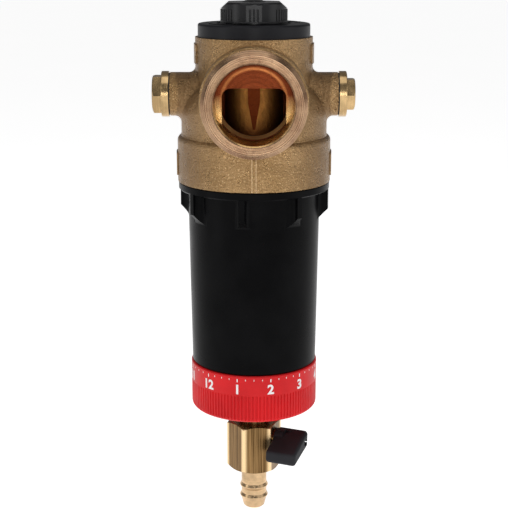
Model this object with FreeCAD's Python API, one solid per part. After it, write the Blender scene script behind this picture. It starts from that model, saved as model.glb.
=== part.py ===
"""Magnetic back-flushing water filter with a built-in pressure reducer, in millimetres.

The brass casting sits in a straight pipe: water enters the front port, runs down into the black bowl,
passes the screen from outside to inside, rises through the middle tube and the reducer seat, and leaves at
the rear. Frame: +Z up along the bowl, -Y to the front port, +X to the right. The origin is the centre of the
rear port's sealing face. The pieces are drawn round the axis of the bowl, with the ports at height 0, and
moved back by half the face-to-face length when they are written. Every piece is a solid in parts/NODE.step.
"""

import FreeCAD, Part
import math
import os

V = FreeCAD.Vector
Z_AXIS = V(0, 0, 1)
CENTRE = V(0, 0, 0)

# Pipe ports: G 1 1/2 outside thread, flat sealing face
FACE_TO_FACE = 100.0
PORT_R = 23.9
PORT_BORE_R = 17.9
PORT_FACE_R = 22.2
THREAD_LENGTH = 12.0
THREAD_PITCH = 2.309
THREAD_DEPTH = 1.1
PORT_COLLAR_R = 25.0
PORT_BORE_DEPTH = 18.0
PASSAGE_R = 16.0
PASSAGE_HALF_WIDTH = 14.7
PASSAGE_CORNER_R = 4.0
POCKET_R = 20.0
POCKET_FRONT_Y = 28.6
port_y = FACE_TO_FACE / 2
thread_end_y = port_y - THREAD_LENGTH

# Brass casting
TOP_Z = 27.2
UPPER_R = 28.0
BELLY_R = 35.0
SKIRT_R = 36.9
SKIRT_BOTTOM_Z = -41.4
SKIRT_TOP_Z = -22.4
BELLY_BOTTOM_Z = -19.4
SHOULDER_Z = -9.0
SHOULDER_ARC_R = 15.5
WALL = 3.6
BOSS_R = 10.4
BOSS_X = 40.0
TUBE_R = 14.0
TUBE_BORE_R = 10.5
TUBE_BOTTOM_Z = -27.0
PARTITION_Z = 6.0
PARTITION_TOP_Z = 10.0
LOWER_CAVITY_TOP_Z = -17.0
OUTLET_FLOOR_Z = -12.0
DIVIDER_FRONT_Y = 3.5
DIVIDER_BACK_Y = 7.0
DIAPHRAGM_LEDGE_Z = 15.0
SEAT_HOLE_R = 9.0
NOSE_HALF_WIDTH = 2.8
NOSE_PROUD = 2.5
SEAM_HALF_WIDTH = 1.05
SEAM_PROUD = 0.35
PAD_PROUD = 0.6
PAD_CORNER_R = 1.5

# Gauge plugs
PLUG_THREAD_R = 6.5
PLUG_FLANGE_R = 10.9
POCKET_X = 33.5
SEAL_GAP = 0.6

# Bonnet and setting knob of the pressure reducer
BONNET_R = 26.7
BONNET_TOP_Z = 33.5
BONNET_SKIRT_R = 24.5
BONNET_BORE_R = 15.0
BONNET_BORE_TOP_Z = 31.6
NECK_R = 13.3
NECK_BORE_R = 11.4
NECK_TOP_Z = 38.6
KEY_R = 12.3
KEY_WIDTH = 4.0
KNOB_R = 16.0
KNOB_LIP_R = 16.3
KNOB_LIP_HEIGHT = 0.8
KNOB_BOTTOM_Z = 33.8
KNOB_TOP_Z = 43.4
BEVEL_X = 12.1
BEVEL_Z = 40.1
GRIP_FLOOR_R = 15.5
GRIP_RIBS = 14
GRIP_RIB_R = 0.42
SLOT_RIB_R = 0.5
SPINDLE_R = 4.0
PLATE_Z = 30.2
PLATE_THICKNESS = 2.2

# Bowl
BOWL_FLANGE_R = 36.6
BOWL_FLANGE_TOP_Z = -41.5
BOWL_FLANGE_BOTTOM_Z = -45.4
BOWL_TOP_R = 32.1
BOWL_LOW_R = 30.8
BOWL_NECK_R = 33.0
BOWL_WALL = 3.4
BOWL_STEP_Z = -132.2
BOWL_STEP_R = 28.3
BOWL_FLOOR_Z = -152.0
BOWL_BOSS_R = 13.0
CLIP_GROOVE_R = 12.25
BOWL_BOSS_Z = -158.2
LUGS = 8
LUG_TURN_DEG = -9.0
LUG_R = 36.4
LUG_THICKNESS = 2.6
LUG_ROOT_R = 4.0
LUG_BOTTOM_Z = -54.9

# Month ring
RING_R = 31.4
RING_TOP_Z = -132.5
RING_BOTTOM_Z = -156.3
RING_BAND_BOTTOM_Z = -142.6
RING_RIBS = 112
RING_RIB_DEPTH = 0.45

# Drain ball valve
HEX_FLATS = 24.0
HEX_TOP_Z = -166.4
HEX_BOTTOM_Z = -191.4
VALVE_FLANGE_R = 12.5
VALVE_FLANGE_TOP_Z = -158.8
VALVE_FLANGE_BOTTOM_Z = -162.0
SPIGOT_PIPE_R = 8.0
SPIGOT_PIPE_TOP_Z = -150.4
STEM_Z = -174.8
STEM_AZIMUTH_DEG = 67.0
BALL_R = 6.6
FLOW_R = 4.0
STEM_R = 3.0
STEM_SQUARE = 2.0
STEM_SQUARE_END = 18.5
CHAMBER_R = 7.8
CHAMBER_HALF_HEIGHT = 7.5
SEAT_INNER_R = 4.6
SEAT_NEAR = 4.2
GLAND_R = 5.0
GLAND_SEAT = 10.4
LEVER_NEAR = 12.6
LEVER_FAR = 28.5
LEVER_EDGE_R = 1.7
LEVER_HUB_R = 5.4
LEVER_HUB_END = 17.5
LEVER_SCREW_HEAD_R = 1.7
LEVER_SCREW_R = 1.0
LEVER_SCREW_POCKET = 3.3
BARB_NECK_R = 6.5
BARB_R = 7.2
TIP_Z = -213.4

# Filter element, sliding down to back-flush
SPIGOT_R = 10.35
ELEMENT_TOP_Z = -46.0
ELEMENT_BOTTOM_Z = -118.0
CAGE_R = 20.8
SCREEN_R = 21.3
FLANGE_R = 25.0
ROTOR_R = 24.8
SHOULDER_R = 22.4
MAGNET_SLEEVE_R = 5.0
MAGNETS = 6
MAGNET_R = 4.35
MAGNET_TOP_Z = -63.0
MAGNET_PITCH = 9.2
POLE_THICKNESS = 1.0


# ---------------------------------------------------------------- helpers

def disc(radius, low, high, axis=Z_AXIS, origin=CENTRE):
    """A cylinder along axis, from distance low to distance high from origin."""
    return Part.makeCylinder(radius, high - low, origin + axis * low, axis)


def tube(outer, inner, low, high, axis=Z_AXIS, origin=CENTRE):
    return disc(outer, low, high, axis, origin).cut(disc(inner, low - 1, high + 1, axis, origin))


def box(x0, x1, y0, y1, z0, z1):
    return Part.makeBox(x1 - x0, y1 - y0, z1 - z0, V(x0, y0, z0))


def outline(points):
    """A closed wire in the XZ plane through (radius, height) points. A point (r, z, (mr, mz)) is reached by
    an arc through (mr, mz)."""
    edges = []
    for start, end in zip(points, points[1:] + points[:1]):
        a = V(start[0], 0, start[1])
        b = V(end[0], 0, end[1])
        if a.distanceToPoint(b) < 1e-6:
            continue
        if len(end) == 3:
            edges.append(Part.Arc(a, V(end[2][0], 0, end[2][1]), b).toShape())
        else:
            edges.append(Part.LineSegment(a, b).toShape())
    return Part.Wire(edges)


def turned(points):
    """A solid of revolution about Z."""
    return Part.Face(outline(points)).revolve(CENTRE, Z_AXIS, 360)


def prism(points, length, direction):
    """A straight extrusion of a closed polygon of vectors."""
    return Part.Face(Part.makePolygon(points + points[:1])).extrude(direction * length)


def hexagon(flats, low, high, axis=Z_AXIS, across=V(1, 0, 0), origin=CENTRE, chamfer=(True, True)):
    """A hexagon bar whose flat faces along `across`, with turned 30 degree chamfers on its ends."""
    side = axis.cross(across)
    corner = flats / math.sqrt(3)
    points = []
    for k in range(6):
        angle = math.radians(30 + 60 * k)
        points.append(origin + axis * low + (across * math.cos(angle) + side * math.sin(angle)) * corner)
    bar = prism(points, high - low, axis)
    drop = (corner - flats / 2 * 0.97) * math.tan(math.radians(30))
    reach = corner + 0.5
    for wanted, end, inward in ((chamfer[0], low, 1), (chamfer[1], high, -1)):
        if not wanted:
            continue
        base = origin + axis * end
        cone = Part.makeCone(flats / 2 * 0.97, reach, drop * (reach - flats / 2 * 0.97)
                             / (corner - flats / 2 * 0.97), base, axis * inward)
        keep_from = drop * (reach - flats / 2 * 0.97) / (corner - flats / 2 * 0.97)
        rest = Part.makeCylinder(reach, high - low, base + axis * inward * keep_from, axis * inward)
        bar = bar.common(cone.fuse(rest))
    return bar


def torus(major, minor, z):
    return Part.makeTorus(major, minor, V(0, 0, z))


def coil(mean_r, wire_r, low, high, turns):
    """A round-wire helical spring between two heights."""
    height = high - low - 2 * wire_r
    helix = Part.makeHelix(height / turns, height, mean_r)
    section = Part.Wire(Part.makeCircle(wire_r, V(mean_r, 0, 0), V(0, 1, 0)))
    spring = Part.Wire(helix.Edges).makePipeShell([section], True, True)
    spring.translate(V(0, 0, low + wire_r))
    return spring


def turn(shape, degrees, axis=Z_AXIS, origin=CENTRE):
    moved = shape.copy()
    moved.rotate(origin, axis, degrees)
    return moved


def fuse_all(shapes):
    first, rest = shapes[0], shapes[1:]
    return first.fuse(rest).removeSplitter() if rest else first


def fillet_where(shape, radius, chosen):
    """Rounds every edge for which chosen(edge) is true."""
    edges = [e for e in shape.Edges if chosen(e)]
    return shape.makeFillet(radius, edges) if edges else shape


# ---------------------------------------------------------------- brass casting

def casting_profile(grow=0.0, low=SKIRT_BOTTOM_Z, high=TOP_Z):
    """The casting's turned outer shape: skirt, belly, rounded shoulder and upper barrel."""
    centre_r = BELLY_R - SHOULDER_ARC_R
    end_z = SHOULDER_Z + math.sqrt(SHOULDER_ARC_R**2 - (UPPER_R - centre_r)**2)
    end_angle = math.atan2(end_z - SHOULDER_Z, UPPER_R - centre_r)
    middle = (centre_r + (SHOULDER_ARC_R + grow) * math.cos(end_angle / 2),
              SHOULDER_Z + SHOULDER_ARC_R * math.sin(end_angle / 2))
    return [(0, low), (SKIRT_R + grow, low), (SKIRT_R + grow, SKIRT_TOP_Z),
            (BELLY_R + 0.3 + grow, BELLY_BOTTOM_Z, (SKIRT_R - 0.4 + grow, SKIRT_TOP_Z + 2.0)),
            (BELLY_R + grow, BELLY_BOTTOM_Z + 1.2),
            (BELLY_R + grow, SHOULDER_Z), (UPPER_R + grow, end_z, middle),
            (UPPER_R + grow, high), (0, high)]


def port_outer(side):
    """One port's outside: cast collar, thread with run-out and lead chamfer. side is -1 front, +1 rear."""
    collar = disc(PORT_COLLAR_R, 10, thread_end_y, V(0, side, 0))
    collar = fillet_where(collar, 1.2, lambda e: abs(abs(e.CenterOfMass.y) - thread_end_y) < 0.01
                          and e.Curve.TypeId == "Part::GeomCircle")
    lead = PORT_R - PORT_FACE_R
    points = [(0, thread_end_y - 2), (PORT_R, thread_end_y - 2), (PORT_R, thread_end_y + 0.9)]
    crest = THREAD_PITCH * 0.16
    start = thread_end_y + 0.9
    while start + THREAD_PITCH < port_y - lead - 0.2:
        half = (THREAD_PITCH - crest) / 2
        points += [(PORT_R - THREAD_DEPTH, start + half), (PORT_R, start + 2 * half)]
        points += [(PORT_R, start + THREAD_PITCH)]
        start += THREAD_PITCH
    points += [(PORT_R, port_y - lead), (PORT_FACE_R, port_y), (0, port_y)]
    thread = turned(points)
    thread.rotate(CENTRE, V(1, 0, 0), 90 if side < 0 else -90)
    return collar.fuse(thread)


def port_inner(side):
    """One port's bore: straight bore, rounded step and the passage into the casting."""
    axis = V(0, side, 0)
    bore_end = port_y - PORT_BORE_DEPTH
    bore = disc(PORT_BORE_R, bore_end, port_y + 1, axis)
    mouth = Part.makeCone(PORT_BORE_R, PORT_BORE_R + 0.9, 0.9, axis * (port_y - 0.9), axis)
    cone = Part.makeCone(PASSAGE_R, PORT_BORE_R, 2.2, axis * (bore_end - 2.2), axis)
    passage = disc(PASSAGE_R, DIVIDER_BACK_Y + 12, bore_end, axis)
    return bore.fuse([mouth, cone, passage])


def chamber(inner_r, low, high):
    """Free space of the casting's own shape, one wall thickness inside it, between two heights."""
    centre_r = inner_r - (SHOULDER_ARC_R - WALL)
    top_r = centre_r + math.sqrt(max((SHOULDER_ARC_R - WALL)**2 - max(high - SHOULDER_Z, 0)**2, 0))
    if high <= SHOULDER_Z:
        return disc(inner_r, low, high)
    angle = math.atan2(high - SHOULDER_Z, top_r - centre_r) / 2
    middle = (centre_r + (SHOULDER_ARC_R - WALL) * math.cos(angle),
              SHOULDER_Z + (SHOULDER_ARC_R - WALL) * math.sin(angle))
    top = high - 0.01
    return turned([(0, low), (inner_r, low), (inner_r, SHOULDER_Z), (top_r, top, middle), (0, top)])


def inlet_space():
    """Front half chamber and the ring under it, around the middle tube with its flow-splitting nose."""
    inner_r = BELLY_R - WALL
    front = chamber(inner_r, LOWER_CAVITY_TOP_Z - 0.5, 2.0)
    pocket = disc(POCKET_R, 15, POCKET_FRONT_Y, V(0, -1, 0))
    front = front.fuse([disc(inner_r - 7.0, 0.0, PARTITION_Z), pocket])
    front = front.common(box(-40, 40, -POCKET_FRONT_Y, DIVIDER_FRONT_Y, -60, PARTITION_Z))
    under = disc(inner_r - 0.4, TUBE_BOTTOM_Z - 2, LOWER_CAVITY_TOP_Z)
    socket = disc(BOWL_NECK_R + 0.15, SKIRT_BOTTOM_Z - 1, TUBE_BOTTOM_Z + 0.5)
    back, half = -TUBE_R + 2, NOSE_HALF_WIDTH
    nose = prism([V(-half, back, PARTITION_Z + 1), V(half, back, PARTITION_Z + 1), V(half, back, -2),
                  V(0.5, back, -15), V(-0.5, back, -15), V(-half, back, -2)], NOSE_PROUD + 2, V(0, -1, 0))
    middle = disc(TUBE_R, TUBE_BOTTOM_Z, PARTITION_Z + 1).fuse(nose)
    return front.fuse([under, socket]).cut(middle)


def outlet_space():
    """Rear half chamber, open to the reducer chamber above it."""
    inner_r = BELLY_R - WALL
    rear = chamber(inner_r, OUTLET_FLOOR_Z, 2.0)
    rear = rear.fuse(disc(inner_r - 9.0, 0.0, DIAPHRAGM_LEDGE_Z - 2))
    rear = rear.common(box(-40, 40, DIVIDER_BACK_Y, 40, -60, 60)).cut(disc(TUBE_R, -30, PARTITION_TOP_Z))
    upper = disc(21.0, PARTITION_TOP_Z, DIAPHRAGM_LEDGE_Z + 1)
    thread = disc(BONNET_SKIRT_R + 0.1, DIAPHRAGM_LEDGE_Z, TOP_Z + 1)
    return rear.fuse([upper, thread])


def gauge_drilling(side):
    """A gauge port's tapped hole and the slanting drilling from its end back to the outlet chamber."""
    tapped = disc(PLUG_THREAD_R + 0.1, POCKET_X, BOSS_X + 1, V(side, 0, 0))
    start, end = V(side * (POCKET_X + 0.2), 2.0, 0), V(side * 23.0, 13.0, 0)
    run = end - start
    return tapped.fuse(Part.makeCylinder(1.4, run.Length, start, run))


def cast_marks():
    """The mould's seam front and back, and blank raised pads on the sides of barrel and skirt."""
    seam = turned(casting_profile(SEAM_PROUD, SKIRT_BOTTOM_Z + 0.2, TOP_Z - 1.0))
    seam = seam.common(box(-SEAM_HALF_WIDTH, SEAM_HALF_WIDTH, -60, 60, -60, 60))
    return seam, side_pad(UPPER_R, 8, 14.9, 24.2), side_pad(SKIRT_R, 6, -38.7, -27.2)


def side_pad(radius, half_width, low, high):
    """A slab through the casting whose rounded ends stand slightly proud of it left and right."""
    pad = box(-radius - 9, radius + 9, -half_width, half_width, low, high)
    pad = fillet_where(pad, PAD_CORNER_R, lambda e: abs(e.CenterOfMass.x) < 0.01)
    return pad.common(tube(radius + PAD_PROUD, radius - 2, low - 1, high + 1))


def body_casting():
    shell = turned(casting_profile())
    bosses = [disc(BOSS_R, 15, BOSS_X, V(side, 0, 0)) for side in (-1, 1)]
    solid = shell.fuse(bosses).removeSplitter()
    solid = fillet_where(solid, 3.0, is_boss_root)
    solid = solid.fuse([port_outer(-1), port_outer(1)] + list(cast_marks())).removeSplitter()
    cuts = [inlet_space(), outlet_space(), port_inner(-1).common(front_passage_limit()),
            port_inner(1).common(rear_passage_limit()), gauge_drilling(-1), gauge_drilling(1),
            disc(TUBE_BORE_R, TUBE_BOTTOM_Z - 1, PARTITION_Z), disc(SEAT_HOLE_R, 0, PARTITION_TOP_Z + 1)]
    for cut in cuts:
        solid = solid.cut(cut)
    return solid


def is_boss_root(edge):
    """True for the curves where a gauge boss leaves the casting."""
    reach = max(abs(v.Point.x) for v in edge.Vertexes)
    on_boss = all(abs(math.hypot(v.Point.y, v.Point.z) - BOSS_R) < 0.05 for v in edge.Vertexes)
    return on_boss and 20 < reach < BOSS_X - 0.5


def front_passage_limit():
    """The front passage opens below the partition, with rounded upper corners."""
    bore_end = port_y - PORT_BORE_DEPTH
    deep = box(-PASSAGE_HALF_WIDTH, PASSAGE_HALF_WIDTH, -bore_end, 0, -30, PARTITION_Z)
    deep = fillet_where(deep, PASSAGE_CORNER_R, lambda e: abs(e.CenterOfMass.z - PARTITION_Z) < 0.01
                        and abs(abs(e.CenterOfMass.x) - PASSAGE_HALF_WIDTH) < 0.01)
    return box(-30, 30, -port_y - 2, -bore_end, -30, 30).fuse(deep)


def rear_passage_limit():
    """The rear passage opens above the floor of the outlet chamber."""
    bore_end = port_y - PORT_BORE_DEPTH
    deep = box(-30, 30, 0, bore_end, OUTLET_FLOOR_Z, DIAPHRAGM_LEDGE_Z - 2.6)
    return box(-30, 30, bore_end, port_y + 2, -30, 30).fuse(deep)


# ---------------------------------------------------------------- gauge plugs

def gauge_plug(side, flats, hex_end):
    axis = V(side, 0, 0)
    flange_near = BOSS_X + SEAL_GAP
    flange_far = BOSS_X + 4.2
    flange = disc(PLUG_FLANGE_R, flange_near, flange_far, axis)
    flange = fillet_where(flange, 0.5, lambda e: e.Curve.TypeId == "Part::GeomCircle"
                          and abs(abs(e.CenterOfMass.x) - flange_far) < 0.01)
    head = hexagon(flats, flange_far - 0.2, hex_end, axis, Z_AXIS, chamfer=(False, True))
    shank = disc(PLUG_THREAD_R, POCKET_X + 0.7, flange_near + 0.2, axis)
    return fuse_all([flange, head, shank])


def plug_seal(side):
    return tube(PLUG_FLANGE_R - 0.9, PLUG_THREAD_R + 0.15, BOSS_X, BOSS_X + SEAL_GAP, V(side, 0, 0))


# ---------------------------------------------------------------- pressure reducer

def bonnet():
    shell = turned([(BONNET_BORE_R, 17.5), (BONNET_SKIRT_R, 17.5), (BONNET_SKIRT_R, TOP_Z + 0.05),
                    (BONNET_R, TOP_Z + 0.05), (BONNET_R, BONNET_TOP_Z - 1.0),
                    (BONNET_R - 1.0, BONNET_TOP_Z, (BONNET_R - 0.29, BONNET_TOP_Z - 0.29)),
                    (NECK_R + 4.5, BONNET_TOP_Z), (NECK_R + 4.5, BONNET_TOP_Z - 0.5),
                    (NECK_R, BONNET_TOP_Z - 0.5), (NECK_R, NECK_TOP_Z), (SPINDLE_R + 0.1, NECK_TOP_Z),
                    (SPINDLE_R + 0.1, NECK_TOP_Z - 2.4),
                    (NECK_BORE_R, NECK_TOP_Z - 2.4), (NECK_BORE_R, BONNET_BORE_TOP_Z),
                    (BONNET_BORE_R, BONNET_BORE_TOP_Z)])
    slots = box(-KEY_R - 0.1, KEY_R + 0.1, -KEY_WIDTH / 2 - 0.1, KEY_WIDTH / 2 + 0.1, 16, NECK_TOP_Z - 2.4)
    return shell.cut(slots).fuse(turning_arrows()).removeSplitter()


def turning_arrows():
    """Raised marks on the bonnet: an arc with an arrow head each side of the knob, a plus and a minus."""
    low, high = BONNET_TOP_Z - 0.1, BONNET_TOP_Z + 0.35
    marks = []
    for side, start in ((1, 20), (-1, 200)):
        band = tube(22.6, 21.6, low, high)
        wedge = Part.makeCylinder(30, 10, V(0, 0, 30), Z_AXIS, 38)
        marks.append(band.common(turn(wedge, start)))
        tip = math.radians(start - 4 if side > 0 else start + 42)
        sweep = -1 if side > 0 else 1
        along = V(-math.sin(tip), math.cos(tip), 0) * sweep
        out = V(math.cos(tip), math.sin(tip), 0)
        base = out * 22.1 + V(0, 0, low) - along * 1.6
        marks.append(prism([base - out * 1.5, base + along * 3.0, base + out * 1.5], high - low, Z_AXIS))
    plus = turn(box(20.2, 24.0, -0.5, 0.5, low, high).fuse(box(21.6, 22.6, -1.9, 1.9, low, high)), 72)
    minus = turn(box(21.6, 22.6, -1.9, 1.9, low, high), 132)
    return marks + [plus, minus]


def sector(from_deg, to_deg, low, high):
    """A pie-shaped prism, azimuths counted from the front towards +X."""
    piece = Part.makeCylinder(40, high - low, V(0, 0, low), Z_AXIS, to_deg - from_deg)
    return turn(piece, from_deg - 90)


def knob():
    """Hollow knob: a slot with three ribs front and rear, bevelled, finely ribbed grips left and right."""
    floor_z = KNOB_TOP_Z - 1.6
    lip_z = KNOB_BOTTOM_Z + KNOB_LIP_HEIGHT
    cup = turned([(NECK_R + 0.4, KNOB_BOTTOM_Z), (KNOB_LIP_R, KNOB_BOTTOM_Z), (KNOB_LIP_R, lip_z - 0.2),
                  (KNOB_LIP_R - 0.2, lip_z), (KNOB_R, lip_z), (KNOB_R, KNOB_TOP_Z - 0.9),
                  (KNOB_R - 0.9, KNOB_TOP_Z, (KNOB_R - 0.264, KNOB_TOP_Z - 0.264)), (5.6, KNOB_TOP_Z),
                  (5.6, floor_z), (2.2, floor_z), (2.2, NECK_TOP_Z + 0.3), (NECK_R + 0.4, NECK_TOP_Z + 0.3)])
    foot = KNOB_BOTTOM_Z + 1.0
    bevel = prism([V(BEVEL_X, -20, KNOB_TOP_Z), V(KNOB_R + 1, -20, BEVEL_Z - 0.85), V(KNOB_R + 1, -20, 50),
                   V(BEVEL_X, -20, 50)], 40, V(0, 1, 0))
    cuts, ribs = [bevel, turn(bevel, 180)], []
    grip = tube(KNOB_R + 1, GRIP_FLOOR_R, foot, BEVEL_Z + 0.4)
    for side in (0, 180):
        slot = box(-3.7, 3.7, -20, -KNOB_R + 1.1, foot, KNOB_TOP_Z - 1.2)
        cuts += [turn(slot, side), grip.common(sector(side + 39, side + 141, foot, BEVEL_Z + 0.4))]
        for offset in (-1.8, 0.0, 1.8):
            rib = disc(SLOT_RIB_R, foot, BEVEL_Z + 0.4, origin=V(offset, -KNOB_R + 1.1, 0))
            ribs.append(turn(rib, side))
        for k in range(GRIP_RIBS):
            rib = disc(GRIP_RIB_R, foot - 0.3, BEVEL_Z, origin=V(0, -GRIP_FLOOR_R, 0))
            ribs.append(turn(rib, side + 43.5 + k * 93.0 / (GRIP_RIBS - 1)))
    cup = cup.cut(cuts).fuse(ribs).removeSplitter()
    return cup.cut(hexagon(6.1, NECK_TOP_Z, KNOB_TOP_Z - 2.9, chamfer=(False, False)))


def knob_cap():
    """Domed insert that hides the knob's screw."""
    top_z = KNOB_TOP_Z + 1.3
    return turned([(0, KNOB_TOP_Z - 0.4), (5.5, KNOB_TOP_Z - 0.4), (5.5, KNOB_TOP_Z + 0.2),
                   (1.0, top_z, (3.3, top_z - 0.35)), (0, top_z)])


def spindle():
    shaft = disc(SPINDLE_R, 24.9, NECK_TOP_Z + 0.2)
    collar = disc(7.0, NECK_TOP_Z - 4.2, NECK_TOP_Z - 2.5)
    drive = hexagon(6.0, NECK_TOP_Z + 0.1, KNOB_TOP_Z - 3.0, chamfer=(False, True))
    return fuse_all([shaft, collar, drive]).cut(disc(1.3, NECK_TOP_Z - 3, KNOB_TOP_Z))


def knob_screw():
    head = disc(2.9, KNOB_TOP_Z - 1.58, KNOB_TOP_Z - 0.5)
    head = head.cut(hexagon(2.6, KNOB_TOP_Z - 1.2, KNOB_TOP_Z, chamfer=(False, False)))
    return head.fuse(disc(1.25, NECK_TOP_Z - 1, KNOB_TOP_Z - 1.5))


def spring_plate():
    plate = disc(NECK_BORE_R - 0.1, PLATE_Z, PLATE_Z + PLATE_THICKNESS)
    keys = box(-KEY_R, KEY_R, -KEY_WIDTH / 2, KEY_WIDTH / 2, PLATE_Z, PLATE_Z + PLATE_THICKNESS)
    lip = tube(7.6, SPINDLE_R + 0.1, PLATE_Z - 1.2, PLATE_Z + 0.1)
    return fuse_all([plate, keys, lip]).cut(disc(SPINDLE_R + 0.06, 0, 60))


def setting_spring():
    return coil(9.0, 0.9, 18.65, PLATE_Z - 0.05, 3.25)


def diaphragm():
    return turned([(2.7, 15.15), (13.0, 15.15), (19.6, 15.05, (16.4, 13.4)), (24.3, 15.05), (24.3, 16.5),
                   (19.6, 16.5), (13.6, 16.4, (16.4, 14.9)), (2.7, 16.4)])


def slip_ring():
    return tube(24.2, 19.8, 16.55, 17.4)


def seat_ring():
    rim_z = PARTITION_TOP_Z + 0.05
    return turned([(7.0, 5.2), (7.7, 4.9), (8.9, 5.6), (8.9, rim_z), (10.6, rim_z), (10.6, 11.0),
                   (7.0, 11.0)])


def diaphragm_disc():
    return turned([(2.6, 16.45), (12.4, 16.45), (12.4, 19.6), (11.4, 19.6), (11.4, 18.6), (2.6, 18.6)])


def valve_stem():
    return turned([(0, -4.6), (2.0, -4.6), (2.5, -4.1), (2.5, 13.6), (5.6, 13.6), (5.6, 15.1), (2.5, 15.1),
                   (2.5, 21.2), (2.0, 21.7), (0, 21.7)])


def stem_nut(low):
    return hexagon(7.0, low, low + 2.0).cut(disc(2.55, low - 1, low + 4))


def valve_disc():
    return turned([(2.55, -2.4), (8.4, -2.4), (8.4, 2.2), (7.6, 2.2), (7.6, 0.2), (4.2, 0.2), (4.2, 2.2),
                   (2.55, 2.2)])


def valve_seal():
    return tube(7.58, 4.22, 0.25, 2.3)


# ---------------------------------------------------------------- bowl and filter element

def filter_bowl():
    flange_low = BOWL_FLANGE_BOTTOM_Z
    shell = turned([(BOWL_NECK_R - 4.4, -27.6), (BOWL_NECK_R - 0.6, -27.6), (BOWL_NECK_R, -28.2),
                    (BOWL_NECK_R, -29.4), (BOWL_NECK_R - 1.5, -29.4), (BOWL_NECK_R - 1.5, -31.9),
                    (BOWL_NECK_R, -31.9), (BOWL_NECK_R, BOWL_FLANGE_TOP_Z),
                    (BOWL_FLANGE_R - 0.5, BOWL_FLANGE_TOP_Z), (BOWL_FLANGE_R, BOWL_FLANGE_TOP_Z - 0.5),
                    (BOWL_FLANGE_R, flange_low + 0.6), (BOWL_FLANGE_R - 0.6, flange_low),
                    (BOWL_TOP_R + 1.2, flange_low),
                    (BOWL_TOP_R, flange_low - 1.2, (BOWL_TOP_R + 0.35, flange_low - 0.35)),
                    (BOWL_LOW_R, BOWL_STEP_Z + 0.5), (BOWL_LOW_R - 0.5, BOWL_STEP_Z),
                    (BOWL_STEP_R, BOWL_STEP_Z),
                    (BOWL_STEP_R, BOWL_FLOOR_Z + 2.0),
                    (BOWL_STEP_R - 2.0, BOWL_FLOOR_Z, (BOWL_STEP_R - 0.59, BOWL_FLOOR_Z + 0.59)),
                    (BOWL_BOSS_R, BOWL_FLOOR_Z), (BOWL_BOSS_R, RING_BOTTOM_Z - 0.1),
                    (CLIP_GROOVE_R, RING_BOTTOM_Z - 0.1), (CLIP_GROOVE_R, RING_BOTTOM_Z - 1.0),
                    (BOWL_BOSS_R, RING_BOTTOM_Z - 1.0), (BOWL_BOSS_R, BOWL_BOSS_Z),
                    (8.1, BOWL_BOSS_Z), (8.1, -150.0), (5.0, -150.0), (5.0, BOWL_FLOOR_Z + 4.0),
                    (BOWL_STEP_R - BOWL_WALL, BOWL_FLOOR_Z + 4.0), (BOWL_STEP_R - BOWL_WALL, BOWL_STEP_Z),
                    (BOWL_LOW_R - BOWL_WALL, BOWL_STEP_Z + 2.5), (BOWL_TOP_R - BOWL_WALL, flange_low)])
    shell = shell.fuse([turn(lug(), LUG_TURN_DEG + k * 360 / LUGS) for k in range(LUGS)])
    return shell.removeSplitter()


def lug():
    """One spanner lug under the bowl's flange, at the front: a radial rib with rounded roots that dies out
    at 45 degrees into the bowl."""
    half = LUG_THICKNESS / 2
    root_r = BOWL_TOP_R - 0.15
    inner = root_r - 1.5
    wide = half + LUG_ROOT_R
    foot = math.sqrt(root_r**2 - wide**2)
    bend = LUG_ROOT_R * (1 - math.sqrt(0.5))
    p = [V(-wide, -foot + 2, 0), V(-wide, -foot, 0), V(-half - bend, -foot - bend, 0),
         V(-half, -foot - LUG_ROOT_R, 0), V(-half, -LUG_R - 1, 0), V(half, -LUG_R - 1, 0),
         V(half, -foot - LUG_ROOT_R, 0), V(half + bend, -foot - bend, 0),
         V(wide, -foot, 0), V(wide, -foot + 2, 0)]
    edges = [Part.LineSegment(p[0], p[1]), Part.Arc(p[1], p[2], p[3]), Part.LineSegment(p[3], p[4]),
             Part.LineSegment(p[4], p[5]), Part.LineSegment(p[5], p[6]), Part.Arc(p[6], p[7], p[8]),
             Part.LineSegment(p[8], p[9]), Part.LineSegment(p[9], p[0])]
    section = Part.Face(Part.Wire([e.toShape() for e in edges]))
    top = BOWL_FLANGE_BOTTOM_Z + 0.3
    plan = section.extrude(V(0, 0, 20))
    plan.translate(V(0, 0, top - 20))
    slope = LUG_R - root_r
    side = turned([(inner, top), (LUG_R, top), (LUG_R, LUG_BOTTOM_Z),
                   (root_r + 1.0, LUG_BOTTOM_Z - slope + 1.0),
                   (root_r - 0.3, LUG_BOTTOM_Z - slope - 1.4, (root_r + 0.15, LUG_BOTTOM_Z - slope - 0.1)),
                   (inner, LUG_BOTTOM_Z - slope - 1.4)])
    return plan.common(side)


def bowl_o_ring():
    return torus(BOWL_NECK_R - 0.68, 0.8, -30.65)


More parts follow.
